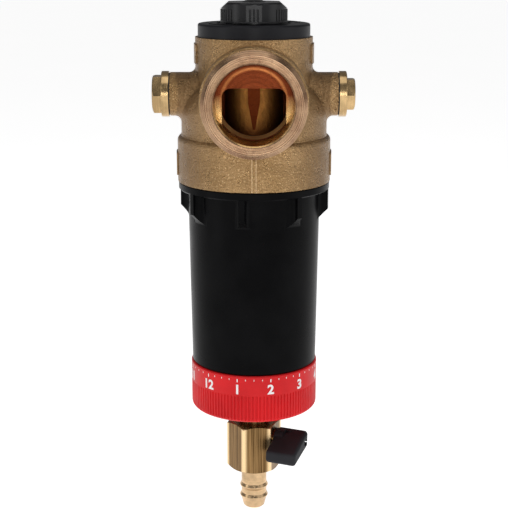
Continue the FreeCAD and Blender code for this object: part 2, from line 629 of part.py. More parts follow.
def month_ring():
    """Turning ring: smooth band for the month scale above, grip ribs below, inward lip at the bottom."""
    body = turned([(BOWL_STEP_R + 0.25, RING_TOP_Z), (RING_R - 0.5, RING_TOP_Z), (RING_R, RING_TOP_Z - 0.5),
                   (RING_R, RING_BOTTOM_Z + 2.2),
                   (RING_R - 2.2, RING_BOTTOM_Z, (RING_R - 0.64, RING_BOTTOM_Z + 0.64)),
                   (BOWL_BOSS_R + 0.25, RING_BOTTOM_Z), (BOWL_BOSS_R + 0.25, BOWL_FLOOR_Z - 0.3),
                   (BOWL_STEP_R + 0.25, BOWL_FLOOR_Z - 0.3)])
    plain = disc(RING_R + 1, RING_BAND_BOTTOM_Z, RING_TOP_Z + 1)
    points = []
    for k in range(RING_RIBS):
        for share, radius in ((0.0, RING_R + 0.02), (0.42, RING_R + 0.02), (0.58, RING_R - RING_RIB_DEPTH),
                              (0.84, RING_R - RING_RIB_DEPTH)):
            angle = 2 * math.pi * (k + share) / RING_RIBS
            points.append(V(radius * math.cos(angle), radius * math.sin(angle), RING_BOTTOM_Z - 1))
    toothed = prism(points, RING_BAND_BOTTOM_Z - RING_BOTTOM_Z + 1, Z_AXIS)
    return body.common(toothed.fuse(plain))


def ring_clip():
    clip = tube(15.6, CLIP_GROOVE_R + 0.05, RING_BOTTOM_Z - 0.95, RING_BOTTOM_Z - 0.15)
    return clip.cut(box(-2.5, 2.5, 0, 30, -170, -140))


def element_head():
    """Top of the element: spigot with a seal groove, cone, and a flange with a groove for the screen."""
    return turned([(7.5, -14.6), (9.9, -14.6), (SPIGOT_R, -15.2), (SPIGOT_R, -17.0), (8.7, -17.0),
                   (8.7, -19.0), (SPIGOT_R, -19.0), (SPIGOT_R, TUBE_BOTTOM_Z - 0.4),
                   (13.5, TUBE_BOTTOM_Z - 0.4), (13.5, -41.0), (FLANGE_R, -43.0), (FLANGE_R, ELEMENT_TOP_Z),
                   (SHOULDER_R, ELEMENT_TOP_Z), (SHOULDER_R, ELEMENT_TOP_Z - 1.5),
                   (SCREEN_R + 0.05, ELEMENT_TOP_Z - 1.5), (SCREEN_R + 0.05, ELEMENT_TOP_Z),
                   (17.6, ELEMENT_TOP_Z), (17.6, -43.6), (7.5, -39.0)])


def head_o_ring():
    return torus(9.57, 0.86, -18.0)


def screen_cage():
    cage = tube(CAGE_R, CAGE_R - 2.2, ELEMENT_BOTTOM_Z + 0.02, ELEMENT_TOP_Z - 0.02)
    rows, columns = 5, 8
    pitch = (ELEMENT_TOP_Z - ELEMENT_BOTTOM_Z - 6) / rows
    windows = []
    for row in range(rows):
        low = ELEMENT_BOTTOM_Z + 4.0 + row * pitch
        for column in range(columns // 2):
            window = box(-CAGE_R - 2, CAGE_R + 2, -5.2, 5.2, low, low + pitch - 2.2)
            windows.append(turn(window, column * 360 / columns))
    return cage.cut(windows[0].multiFuse(windows[1:]))


def filter_screen():
    return tube(SCREEN_R, CAGE_R + 0.05, ELEMENT_BOTTOM_Z + 1.0, ELEMENT_TOP_Z - 1.0)


def element_base():
    return turned([(MAGNET_SLEEVE_R + 0.05, -121.0), (FLANGE_R, -121.0), (FLANGE_R, ELEMENT_BOTTOM_Z),
                   (SHOULDER_R, ELEMENT_BOTTOM_Z), (SHOULDER_R, ELEMENT_BOTTOM_Z + 1.5),
                   (SCREEN_R + 0.05, ELEMENT_BOTTOM_Z + 1.5), (SCREEN_R + 0.05, ELEMENT_BOTTOM_Z),
                   (CAGE_R - 2.4, ELEMENT_BOTTOM_Z), (CAGE_R - 2.4, ELEMENT_BOTTOM_Z + 2.5),
                   (CAGE_R - 4.0, ELEMENT_BOTTOM_Z + 2.5), (CAGE_R - 4.0, ELEMENT_BOTTOM_Z),
                   (MAGNET_SLEEVE_R + 0.05, ELEMENT_BOTTOM_Z)])


def backwash_rotor():
    """Free-running cage with four slanted vanes that sweep jets over the screen, guided on two shoulders."""
    low, high = ELEMENT_BOTTOM_Z + 0.05, ELEMENT_TOP_Z - 0.05
    inner = SHOULDER_R + 0.05
    rings = [tube(ROTOR_R, inner, low, low + 3.5), tube(ROTOR_R, inner, high - 3.5, high)]
    vane = prism([V(inner + 0.1, -1.0, 0), V(ROTOR_R - 0.1, 0.4, 0), V(ROTOR_R - 0.3, 1.8, 0),
                  V(inner + 0.1, 0.6, 0)], high - low, Z_AXIS)
    vane.translate(V(0, 0, low))
    return fuse_all(rings + [turn(vane, 45 + 90 * k) for k in range(4)])


def return_spring():
    return coil(14.2, 0.9, BOWL_FLOOR_Z + 4.05, -121.05, 6)


def magnet_sleeve():
    return turned([(4.45, -121.0), (MAGNET_SLEEVE_R, -121.0), (MAGNET_SLEEVE_R, -60.0),
                   (1.5, -56.5, (3.97, -57.53)), (0, -56.5), (0, -57.1), (1.4, -57.1),
                   (4.45, -60.15, (3.56, -57.99))])


def magnet_stack():
    """Six disc magnets with thin steel pole pieces between them, as separate solids."""
    solids = []
    for k in range(MAGNETS):
        high = MAGNET_TOP_Z - k * MAGNET_PITCH - POLE_THICKNESS - 0.1
        solids.append(disc(MAGNET_R, high - MAGNET_PITCH + POLE_THICKNESS + 0.2, high))
    return Part.makeCompound(solids)


def pole_pieces():
    solids = []
    for k in range(MAGNETS):
        high = MAGNET_TOP_Z - k * MAGNET_PITCH
        solids.append(disc(MAGNET_R, high - POLE_THICKNESS, high))
    return Part.makeCompound(solids)


def magnet_plug():
    return turned([(0, -123.0), (7.0, -123.0), (7.0, -121.1), (4.3, -121.1), (4.3, -118.4), (0, -118.4)])


# ---------------------------------------------------------------- drain ball valve

stem_out = V(math.sin(math.radians(STEM_AZIMUTH_DEG)), -math.cos(math.radians(STEM_AZIMUTH_DEG)), 0)
lever_way = V(-math.cos(math.radians(STEM_AZIMUTH_DEG)), -math.sin(math.radians(STEM_AZIMUTH_DEG)), 0)
valve_centre = V(0, 0, STEM_Z)


def stem_bar(half_z, half_way, near, far):
    """A rectangular bar along the stem's axis."""
    corners = []
    for t, z in ((-1, -1), (1, -1), (1, 1), (-1, 1)):
        corners.append(valve_centre + stem_out * near + V(0, 0, z * half_z) + lever_way * t * half_way)
    return prism(corners, far - near, stem_out)


def stem_disc(radius, near, far):
    return disc(radius, near, far, stem_out, valve_centre)


def drain_valve_body():
    """Hexagon body below a short neck and a round flange, with a screwed spigot on top."""
    body = hexagon(HEX_FLATS, HEX_BOTTOM_Z, HEX_TOP_Z, Z_AXIS, stem_out)
    pipe = disc(SPIGOT_PIPE_R, HEX_TOP_Z - 0.2, SPIGOT_PIPE_TOP_Z)
    flange = disc(VALVE_FLANGE_R, VALVE_FLANGE_BOTTOM_Z, VALVE_FLANGE_TOP_Z)
    flange = fillet_where(flange, 0.5, lambda e: e.Curve.TypeId == "Part::GeomCircle"
                          and abs(e.CenterOfMass.z - VALVE_FLANGE_BOTTOM_Z) < 0.01)
    body = body.fuse([pipe, flange]).removeSplitter()
    body = body.cut(disc(FLOW_R, -200, -140))
    body = body.cut(disc(CHAMBER_R, HEX_BOTTOM_Z - 1, STEM_Z + CHAMBER_HALF_HEIGHT))
    return body.cut(stem_disc(STEM_R + 0.06, 0, 20)).cut(stem_disc(GLAND_R + 0.1, GLAND_SEAT, 20))


def ball_seat(side):
    near, far = STEM_Z + side * SEAT_NEAR, STEM_Z + side * (CHAMBER_HALF_HEIGHT - 0.1)
    seat = tube(CHAMBER_R - 0.05, SEAT_INNER_R, min(near, far), max(near, far))
    return seat.cut(Part.makeSphere(BALL_R + 0.03, valve_centre))


def drain_ball():
    ball = Part.makeSphere(BALL_R, valve_centre)
    ball = ball.cut(disc(FLOW_R, -20, 20, lever_way, valve_centre))
    return ball.cut(stem_bar(1.25, 9, BALL_R - 1.6, BALL_R + 1))


def drain_stem():
    """Tongue in the ball's slot, shaft with a seal groove, square for the lever with a tapped hole."""
    tongue = stem_bar(1.15, 2.4, BALL_R - 1.5, BALL_R + 1.9)
    shaft = stem_disc(STEM_R, BALL_R + 0.6, LEVER_NEAR - 0.1)
    square = stem_bar(STEM_SQUARE, STEM_SQUARE, LEVER_NEAR - 0.2, STEM_SQUARE_END)
    whole = fuse_all([tongue, shaft, square])
    whole = whole.cut(tube(STEM_R + 1, STEM_R - 0.82, 8.6, 9.6, stem_out, valve_centre))
    return whole.cut(stem_disc(LEVER_SCREW_R + 0.05, 13.0, 30))


def stem_o_ring():
    ring = Part.makeTorus(2.62, 0.42, V(0, 0, 0))
    ring.Placement = FreeCAD.Placement(valve_centre + stem_out * 9.1, FreeCAD.Rotation(Z_AXIS, stem_out))
    return ring


def gland_nut():
    """Round screwed-in ring that holds the stem, with a screwdriver slot across it."""
    nut = stem_disc(GLAND_R, GLAND_SEAT + 0.05, LEVER_NEAR - 0.2).cut(stem_disc(STEM_R + 0.06, 0, 30))
    return nut.cut(stem_bar(0.6, 9, LEVER_NEAR - 1.0, LEVER_NEAR))


def drain_lever():
    """Stubby plastic lever: a hub on the stem and a thick wing that slopes down towards the front."""
    def at(t, z, s=LEVER_NEAR):
        return valve_centre + lever_way * t + V(0, 0, z) + stem_out * s
    depth = LEVER_FAR - LEVER_NEAR
    wing = prism([at(-2.4, 5.4), at(15.6, -1.0), at(16.1, -7.6), at(-1.6, -3.2)], depth, stem_out)
    wing = fillet_where(wing, LEVER_EDGE_R, is_wing_edge)
    near, far = LEVER_NEAR + 0.8, LEVER_NEAR + 8.5
    recess = prism([at(-0.6, 3.9, near), at(4.6, 2.1, near), at(-0.6, 3.9, far)], 4, Z_AXIS)
    lever = wing.cut(recess).fuse(stem_disc(LEVER_HUB_R, LEVER_NEAR, LEVER_HUB_END)).removeSplitter()
    socket = stem_bar(STEM_SQUARE + 0.05, STEM_SQUARE + 0.05, LEVER_NEAR - 1, STEM_SQUARE_END + 0.1)
    screw_hole = stem_disc(LEVER_SCREW_R + 0.1, 15, 40)
    pocket = stem_disc(LEVER_SCREW_HEAD_R + 0.2, LEVER_FAR - LEVER_SCREW_POCKET, 40)
    return lever.cut([socket, screw_hole, pocket])


def is_wing_edge(edge):
    """True for the wing's long edges and its outline on the outer face, away from the hub."""
    way = (edge.CenterOfMass - valve_centre).dot(lever_way)
    return way > 4.5


def lever_screw():
    seat = LEVER_FAR - LEVER_SCREW_POCKET + 0.05
    head = stem_disc(LEVER_SCREW_HEAD_R, seat, seat + 1.45)
    slot = hexagon(1.6, seat + 0.6, seat + 2, stem_out, Z_AXIS, valve_centre, (False, False))
    return head.cut(slot).fuse(stem_disc(LEVER_SCREW_R, 13.5, seat + 0.1))


def drain_gasket():
    return tube(11.4, SPIGOT_PIPE_R + 0.2, VALVE_FLANGE_TOP_Z + 0.02, BOWL_BOSS_Z - 0.02)


def hose_barb():
    """Screwed-in hose tail with two barbs and a tapered tip."""
    top = STEM_Z - CHAMBER_HALF_HEIGHT
    return turned([(FLOW_R, top), (CHAMBER_R - 0.1, top), (CHAMBER_R - 0.1, HEX_BOTTOM_Z + 0.4),
                   (BARB_NECK_R + 0.4, HEX_BOTTOM_Z + 0.4), (BARB_NECK_R + 0.4, HEX_BOTTOM_Z - 0.6),
                   (BARB_NECK_R, HEX_BOTTOM_Z - 1.2),
                   (BARB_NECK_R, -200.2), (BARB_R, -201.6), (BARB_R, -202.1), (BARB_NECK_R, -203.2),
                   (BARB_NECK_R, -205.8), (BARB_R, -207.1), (BARB_R, -207.6), (BARB_NECK_R, -208.9),
                   (5.5, TIP_Z + 0.6), (4.9, TIP_Z), (FLOW_R, TIP_Z)])


# ---------------------------------------------------------------- all pieces

def pieces():
    return {
        "body_casting": body_casting(),
        "gauge_plug_left": gauge_plug(-1, 17.2, 48.5),
        "gauge_plug_right": gauge_plug(1, 14.3, 48.2),
        "plug_seal_left": plug_seal(-1),
        "plug_seal_right": plug_seal(1),
        "bonnet": bonnet(),
        "knob": knob(),
        "knob_cap": knob_cap(),
        "knob_screw": knob_screw(),
        "spindle": spindle(),
        "spring_plate": spring_plate(),
        "setting_spring": setting_spring(),
        "slip_ring": slip_ring(),
        "diaphragm": diaphragm(),
        "diaphragm_disc": diaphragm_disc(),
        "valve_stem": valve_stem(),
        "stem_nut_upper": stem_nut(18.65),
        "stem_nut_lower": stem_nut(-4.45),
        "valve_disc": valve_disc(),
        "valve_seal": valve_seal(),
        "seat_ring": seat_ring(),
        "filter_bowl": filter_bowl(),
        "bowl_o_ring": bowl_o_ring(),
        "element_head": element_head(),
        "head_o_ring": head_o_ring(),
        "screen_cage": screen_cage(),
        "filter_screen": filter_screen(),
        "element_base": element_base(),
        "backwash_rotor": backwash_rotor(),
        "return_spring": return_spring(),
        "magnet_sleeve": magnet_sleeve(),
        "magnet_stack": magnet_stack(),
        "pole_pieces": pole_pieces(),
        "magnet_plug": magnet_plug(),
        "month_ring": month_ring(),
        "ring_clip": ring_clip(),
        "drain_gasket": drain_gasket(),
        "drain_valve_body": drain_valve_body(),
        "ball_seat_upper": ball_seat(1),
        "ball_seat_lower": ball_seat(-1),
        "drain_ball": drain_ball(),
        "drain_stem": drain_stem(),
        "stem_o_ring": stem_o_ring(),
        "gland_nut": gland_nut(),
        "drain_lever": drain_lever(),
        "lever_screw": lever_screw(),
        "hose_barb": hose_barb(),
    }


def main():
    os.makedirs("parts", exist_ok=True)
    for name, shape in pieces().items():
        solids = shape.Solids
        ok = shape.isValid() and all(s.isValid() and s.Volume > 0 for s in solids)
        print(f"{name:18s} solids {len(solids)}  volume {shape.Volume:9.1f}  {'ok' if ok else 'INVALID'}")
        shape.translate(V(0, -port_y, 0))
        shape.exportStep(f"parts/{name}.step")


main()
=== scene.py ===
"""Looks of the back-flushing water filter: materials, the printed month scale, light and camera.

Metres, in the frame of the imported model: the origin is the centre of the rear port's sealing face, -Y is the
front, +Z is up along the bowl. The ports' axis runs along Y, the bowl's axis stands at y = axis_y.
"""

import math

import bmesh
import bpy
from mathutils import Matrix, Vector

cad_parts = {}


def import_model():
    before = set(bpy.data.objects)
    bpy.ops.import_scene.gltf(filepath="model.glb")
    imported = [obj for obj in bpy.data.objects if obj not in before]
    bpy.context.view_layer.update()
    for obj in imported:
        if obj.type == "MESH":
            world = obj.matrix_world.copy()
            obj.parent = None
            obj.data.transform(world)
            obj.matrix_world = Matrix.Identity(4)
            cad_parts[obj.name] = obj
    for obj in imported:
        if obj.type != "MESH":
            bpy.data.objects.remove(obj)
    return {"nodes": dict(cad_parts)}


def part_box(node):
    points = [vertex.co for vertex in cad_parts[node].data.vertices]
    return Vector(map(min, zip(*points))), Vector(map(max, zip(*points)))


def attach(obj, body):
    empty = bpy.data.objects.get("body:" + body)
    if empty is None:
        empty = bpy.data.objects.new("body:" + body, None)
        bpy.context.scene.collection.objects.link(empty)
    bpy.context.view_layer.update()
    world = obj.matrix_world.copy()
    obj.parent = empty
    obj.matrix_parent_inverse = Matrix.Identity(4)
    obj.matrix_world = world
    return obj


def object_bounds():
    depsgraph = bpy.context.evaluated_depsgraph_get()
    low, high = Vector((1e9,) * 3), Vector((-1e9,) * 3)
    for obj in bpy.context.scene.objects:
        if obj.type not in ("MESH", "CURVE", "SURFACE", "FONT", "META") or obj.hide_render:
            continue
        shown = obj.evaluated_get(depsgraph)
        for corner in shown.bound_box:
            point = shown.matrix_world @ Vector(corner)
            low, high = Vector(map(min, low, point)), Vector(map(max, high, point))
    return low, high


# Camera: on the object's middle plane, in front of it and looking down on it
CAMERA_DISTANCE = 0.5909
CAMERA_HEIGHT = 0.06733
CAMERA_PITCH_DEG = 13.93
CAMERA_LENS = 87.06
SENSOR_WIDTH = 36.0

# Printed month scale
MONTHS = 12
TICKS_PER_MONTH = 4
SCALE_START_DEG = -15
NUMBER_HEIGHT = 0.0046
NUMBER_DROP = 0.0089
NUMBER_BOLDNESS = 0.045
CAPITAL_SHARE = 0.7
TICK_DROP = 0.0014
MONTH_TICK = (0.0005, 0.0016)
SHORT_TICK = (0.0003, 0.0008)
INK_THICKNESS = 0.00014
INK_PROUD = 0.00001

# Zones of the casting. AT_ is a distance from the bowl's axis along the ports, R_ a radius round the ports'
# axis, _RADIUS a radius round the bowl's axis, _HALF a distance each side of a line, _X and _Z a place or its
# distance from the middle plane. A pair of numbers is where a soft change starts and ends
AT_THREAD = 0.0381
AT_BORE = 0.0297
R_BORE = 0.0188
AT_WATER_WAY = 0.0315
R_WATER_WAY = 0.0203
R_PORT_WALL = (0.0181, 0.0186)
R_WALL_LINE = 0.0150
WALL_LINE_HALF = (0.0003, 0.0010)
# Painted light and shade: heights over which the port's wall goes from lit gold to shaded dark red
WALL_SHADE_Z = (-0.006, 0.003)
# Painted light behind the port: where gold highlights lie on the middle tube, and where they fade into painted
# shade
COLUMN_RADIUS = (0.0144, 0.0150)
NOSE_HALF = (0.0005, 0.0050)
NOSE_FADE_Z = (0.002, -0.010)
LIT_HALF = (0.0085, 0.0130)
LIT_Z = (-0.0165, -0.0050)
SEAM_X = 0.0010
SEAM_HALF = (0.0001, 0.0004)
SEAM_TOP_Z = -0.02
# Painted shade: the span over which the sides of the body are darkened
FLANK_SHADE_X = (0.014, 0.032)
FLANK_SHADE_RADIUS = (0.0370, 0.0380)

# Painted highlights on the corners of the valve's hexagon, as radii round the bowl's axis
HEXAGON_HIGHLIGHT_CORNER = (0.0129, 0.0135)

# Fine patterns: noise steps per metre of radius on the turned port, and the waves that draw the screen's
# wires, counted per turn round the axis and in radians per metre upwards
TOOL_RINGS = 2600.0
WIRES_ROUND = 420.0
WIRES_UP = 20000.0

# Linear colours of the brasses, and of the dark red and gold painted inside the ports as shade and light
CAST_DARK = (0.36, 0.22, 0.095)
CAST_LIGHT = (0.50, 0.315, 0.15)
CAST_PIT = (0.24, 0.14, 0.06)
# Painted highlight: pale specks that stand in for glints of light off the skin
CAST_PAINTED_GLINT = (0.88, 0.62, 0.34)
# Painted highlight: the pale edges of the real mould line, where light would catch its ridges
CAST_SEAM_HIGHLIGHT = (0.90, 0.66, 0.40)
# Painted shade on the sides of the body
CAST_FLANK_SHADE = (0.17, 0.10, 0.05)
FACE_DARK = (0.20, 0.105, 0.056)
FACE_LIGHT = (0.34, 0.21, 0.12)
FACE_MARK = (0.86, 0.62, 0.42)
WALL_LIT_GOLD = (0.74, 0.47, 0.19)
WALL_SHADE_RED = (0.14, 0.030, 0.010)
WALL_LINE = (0.42, 0.16, 0.05)
# Painted shade and painted highlight for the water way behind the port
WATER_WAY_SHADE = (0.17, 0.036, 0.010)
WATER_WAY_HIGHLIGHT = (1.0, 0.47, 0.12)
TURNED = (0.50, 0.34, 0.165)
TURNED_PALE = (0.58, 0.40, 0.225)
DRAWN_DARK = (0.085, 0.045, 0.016)
DRAWN_LIGHT = (0.30, 0.18, 0.075)
# Painted highlight on the hexagon's corners
DRAWN_CORNER_HIGHLIGHT = (0.86, 0.62, 0.34)

# Studio; the gap is from the object's lowest point down to the floor
FLOOR_GAP = 0.03
FLOOR_SIZE = 14.0
FLOOR_GLOW = 0.77
WORLD_STRENGTH = 0.20


# ---------------------------------------------------------------- node helpers

class Shader:
    """A node material with short calls for the nodes that this file uses."""

    def __init__(self, name):
        self.material = bpy.data.materials.new(name)
        self.material.use_nodes = True
        self.tree = self.material.node_tree
        self.bsdf = self.tree.nodes["Principled BSDF"]
        self.place = self.node("ShaderNodeTexCoord").outputs["Object"]

    def node(self, kind, **settings):
        made = self.tree.nodes.new(kind)
        for key, value in settings.items():
            setattr(made, key, value)
        return made

    def put(self, socket, value):
        """Links a socket, or stores a plain value."""
        if isinstance(value, bpy.types.NodeSocket):
            self.tree.links.new(value, socket)
        else:
            socket.default_value = value

    def set(self, **values):
        for key, value in values.items():
            self.put(self.bsdf.inputs[key.replace("_", " ")], value)

    def math(self, operation, a, b=0.0):
        made = self.node("ShaderNodeMath", operation=operation)
        self.put(made.inputs[0], a)
        self.put(made.inputs[1], b)
        return made.outputs[0]

    def times(self, a, b):
        return self.math("MULTIPLY", a, b)

    def size_of(self, a):
        return self.math("ABSOLUTE", a)

    def length(self, a, b):
        """How far a point is from an axis, from its two distances across it."""
        return self.math("SQRT", self.math("ADD", self.times(a, a), self.times(b, b)))

    def stretched(self, scale):
        """Object coordinates scaled apart in X, Y and Z."""
        made = self.node("ShaderNodeMapping")
        self.put(made.inputs["Vector"], self.place)
        made.inputs["Scale"].default_value = scale
        return made.outputs[0]

    def noise(self, scale, detail, rough, at=None):
        made = self.node("ShaderNodeTexNoise")
        self.put(made.inputs["Vector"], at or self.place)
        self.put(made.inputs["Scale"], scale)
        self.put(made.inputs["Detail"], detail)
        self.put(made.inputs["Roughness"], rough)
        return made.outputs["Fac"]

    def ramp(self, value, span, to_low=0.0, to_high=1.0):
        """Goes from to_low to to_high while value crosses the span."""
        made = self.node("ShaderNodeMapRange")
        self.put(made.inputs["Value"], value)
        made.inputs["From Min"].default_value = span[0]
        made.inputs["From Max"].default_value = span[1]
        made.inputs["To Min"].default_value = to_low
        made.inputs["To Max"].default_value = to_high
        return made.outputs[0]

    def mix(self, share, a, b):
        """A mix of two colours, each a socket or three numbers."""
        made = self.node("ShaderNodeMix", data_type="RGBA")
        self.put(made.inputs[0], share)
        for socket, value in ((made.inputs[6], a), (made.inputs[7], b)):
            self.put(socket, value if isinstance(value, bpy.types.NodeSocket) else (*value, 1.0))
        return made.outputs[2]

    def blend(self, share, a, b):
        """A mix of two numbers."""
        made = self.node("ShaderNodeMix", data_type="FLOAT")
        self.put(made.inputs[0], share)
        self.put(made.inputs[2], a)
        self.put(made.inputs[3], b)
        return made.outputs[0]

    def bump(self, height, strength, distance):
        made = self.node("ShaderNodeBump")
        self.put(made.inputs["Height"], height)
        self.put(made.inputs["Strength"], strength)
        self.put(made.inputs["Distance"], distance)
        return made.outputs[0]

    def along_x(self, value):
        """A vector with value as its X, to read a noise along a radius."""
        made = self.node("ShaderNodeCombineXYZ")
        self.put(made.inputs["X"], value)
        return made.outputs[0]

    def xyz(self):
        made = self.node("ShaderNodeSeparateXYZ")
        self.put(made.inputs[0], self.place)
        return made.outputs


def scaled(colour, share, lift=0.0):
    return tuple(c * share + lift for c in colour)


# ---------------------------------------------------------------- brasses

def sand_skin(s, x, z, column, grain):
    """Colour of the cast skin: patches and pits, bright specks painted on as highlights, two mould lines low
    down painted pale as the highlight on their ridges, and painted shade on the flanks.
    """
    patches = s.noise(38, 2, 0.5)
    painted_glints = s.noise(1700, 2, 0.5)
    skin = s.mix(s.ramp(patches, (0.35, 0.65)), CAST_DARK, CAST_LIGHT)
    skin = s.mix(s.ramp(grain, (0.34, 0.54), 0.6, 0.0), skin, CAST_PIT)
    # Painted highlights: pale specks stand in for glints of light off the rough skin
    skin = s.mix(s.ramp(painted_glints, (0.60, 0.70), 0.0, 0.75), skin, CAST_PAINTED_GLINT)
    # The mould line is real; its two pale edges are a painted highlight on its ridges
    from_line = s.size_of(s.math("SUBTRACT", s.size_of(x), SEAM_X))
    seam_highlight = s.times(s.ramp(from_line, SEAM_HALF, 0.5, 0.0), s.math("LESS_THAN", z, SEAM_TOP_Z))
    skin = s.mix(seam_highlight, skin, CAST_SEAM_HIGHLIGHT)
    # Painted shade: the sides of the body, turned away from the light, are darkened
    flank_shade = s.times(s.ramp(s.size_of(x), FLANK_SHADE_X), s.ramp(column, FLANK_SHADE_RADIUS, 1.0, 0.0))
    return s.mix(s.times(flank_shade, 0.62), skin, CAST_FLANK_SHADE)


def port_end(s, z, radius, rings):
    """Colour of the turned port: a stained face with tool marks, and a wall painted gold lower down as light
    and dark red higher up as shade.
    """
    stain = s.noise(120, 3, 0.6)
    face = s.mix(s.ramp(stain, (0.38, 0.62)), FACE_DARK, FACE_LIGHT)
    face = s.mix(s.ramp(rings, (0.50, 0.72), 0.0, 0.8), face, FACE_MARK)
    # Painted light and shade: gold on the lower wall where light falls, dark red higher up where shade falls
    wall = s.mix(s.ramp(z, WALL_SHADE_Z), WALL_LIT_GOLD, WALL_SHADE_RED)
    from_line = s.size_of(s.math("SUBTRACT", radius, R_WALL_LINE))
    wall = s.mix(s.ramp(from_line, WALL_LINE_HALF, 0.5, 0.0), wall, WALL_LINE)
    return s.mix(s.ramp(radius, R_PORT_WALL), wall, face)


def water_way(s, x, z, column):
    """Colour behind the port: dark red painted shade, with painted gold highlights on the middle tube each
    side of its nose.
    """
    off_centre = s.size_of(x)
    off_nose = s.math("MAXIMUM", s.ramp(off_centre, NOSE_HALF), s.ramp(z, NOSE_FADE_Z))
    # Painted shade: darker towards the sides and bottom of the middle tube
    lit = s.times(s.ramp(off_centre, LIT_HALF, 1.0, 0.1), s.ramp(z, LIT_Z, 0.15, 1.0))
    on_column = s.ramp(column, COLUMN_RADIUS, 1.0, 0.0)
    # Painted highlight: gold on the middle tube where light would fall, dark red painted shade elsewhere
    return s.mix(s.times(s.times(on_column, off_nose), lit), WATER_WAY_SHADE, WATER_WAY_HIGHLIGHT)


def cast_brass(axis_y):
    """Sand-cast brass. The port ends and bores are turned, and the water ways behind them are painted dark red
    as shade, with gold painted highlights.
    """
    s = Shader("cast_brass_skin")
    x, y, z = s.xyz()
    from_axis = s.math("SUBTRACT", y, axis_y)
    along = s.size_of(from_axis)
    radius = s.length(x, z)
    column = s.length(x, from_axis)
    bore = s.times(s.math("LESS_THAN", radius, R_BORE), s.math("GREATER_THAN", along, AT_BORE))
    turned = s.math("MAXIMUM", s.math("GREATER_THAN", along, AT_THREAD), bore)
    inside = s.times(s.math("LESS_THAN", radius, R_WATER_WAY), s.math("LESS_THAN", along, AT_WATER_WAY))
    grain = s.noise(1250, 3, 0.6)
    lumps = s.noise(160, 3, 0.5)
    rings = s.noise(1.0, 3, 0.7, at=s.along_x(s.times(radius, TOOL_RINGS)))

    unturned = s.mix(inside, sand_skin(s, x, z, column, grain), water_way(s, x, z, column))
    s.set(Base_Color=s.mix(turned, unturned, port_end(s, z, radius, rings)), Metallic=1.0)
    rough = s.blend(turned, s.ramp(lumps, (0.3, 0.7), 0.24, 0.38), s.ramp(lumps, (0.3, 0.7), 0.20, 0.30))
    s.set(Roughness=s.blend(inside, rough, 0.48))
    skin = s.math("ADD", s.times(grain, 0.9), lumps)
    skin = s.blend(inside, skin, s.times(skin, 0.35))
    s.set(Normal=s.bump(s.blend(turned, skin, s.times(rings, 0.12)), 1.0, 0.0011))
    return s.material


def turned_brass(name, across, colour=TURNED):
    """Turned brass with fine tool marks; across scales the marks apart along the axis of the piece."""
    s = Shader(name)
    marks = s.noise(1.0, 3, 0.6, at=s.stretched(across))
    stain = s.noise(90, 3, 0.6)
    tone = s.mix(s.ramp(stain, (0.35, 0.65)), scaled(colour, 0.72), scaled(colour, 1.25))
    s.set(Base_Color=s.mix(s.ramp(marks, (0.58, 0.75), 0.0, 0.5), tone, scaled(colour, 1.7)), Metallic=1.0)
    s.set(Roughness=s.ramp(stain, (0.25, 0.75), 0.16, 0.30))
    s.set(Normal=s.bump(marks, 0.3, 0.0002))
    return s.material


def drawn_hexagon(axis_y):
    """Drawn brass hexagon bar: dark streaked flats, and corners painted bright as highlights."""
    s = Shader("drawn_brass_hexagon")
    x, y, _ = s.xyz()
    radius = s.length(x, s.math("SUBTRACT", y, axis_y))
    streaks = s.noise(1.0, 3, 0.7, at=s.stretched((1500, 1500, 22)))
    flats = s.mix(s.ramp(streaks, (0.36, 0.64)), DRAWN_DARK, DRAWN_LIGHT)
    # Painted highlight: the corners are painted bright where light catches them
    s.set(Base_Color=s.mix(s.ramp(radius, HEXAGON_HIGHLIGHT_CORNER), flats, DRAWN_CORNER_HIGHLIGHT), Metallic=1.0)
    s.set(Roughness=s.ramp(streaks, (0.3, 0.7), 0.20, 0.34), Normal=s.bump(streaks, 0.35, 0.0003))
    return s.material


# ---------------------------------------------------------------- plastics, rubber, steel, paint

def moulded(name, colour, rough, grain=2600, bump=0.2, specular=0.5):
    """Injection-moulded plastic with a fine surface grain and soft wear."""
    s = Shader(name)
    fine = s.noise(grain, 2, 0.5)
    cloud = s.noise(45, 3, 0.55)
    s.set(Base_Color=s.mix(s.ramp(cloud, (0.35, 0.65)), colour, scaled(colour, 1.25, 0.002)))
    s.set(Roughness=s.ramp(cloud, (0.3, 0.7), rough - 0.04, rough + 0.06), Specular_IOR_Level=specular)
    s.set(Normal=s.bump(fine, bump, 0.0001))
    return s.material


def rubber():
    s = Shader("seal_rubber")
    fine = s.noise(1800, 3, 0.6)
    s.set(Base_Color=s.mix(s.ramp(fine, (0.3, 0.7)), (0.012, 0.012, 0.012), (0.03, 0.03, 0.03)))
    s.set(Roughness=0.7)
    s.set(Normal=s.bump(fine, 0.3, 0.0002))
    return s.material


def steel(name, colour, rough, across=(900, 900, 4000)):
    """Polished metal with marks; across scales the marks apart in X, Y and Z."""
    s = Shader(name)
    marks = s.noise(1.0, 3, 0.6, at=s.stretched(across))
    s.set(Base_Color=s.mix(s.ramp(marks, (0.3, 0.7)), colour, scaled(colour, 1.15)), Metallic=1.0)
    s.set(Roughness=s.ramp(marks, (0.3, 0.7), rough, rough + 0.12))
    s.set(Normal=s.bump(marks, 0.15, 0.0001))
    return s.material


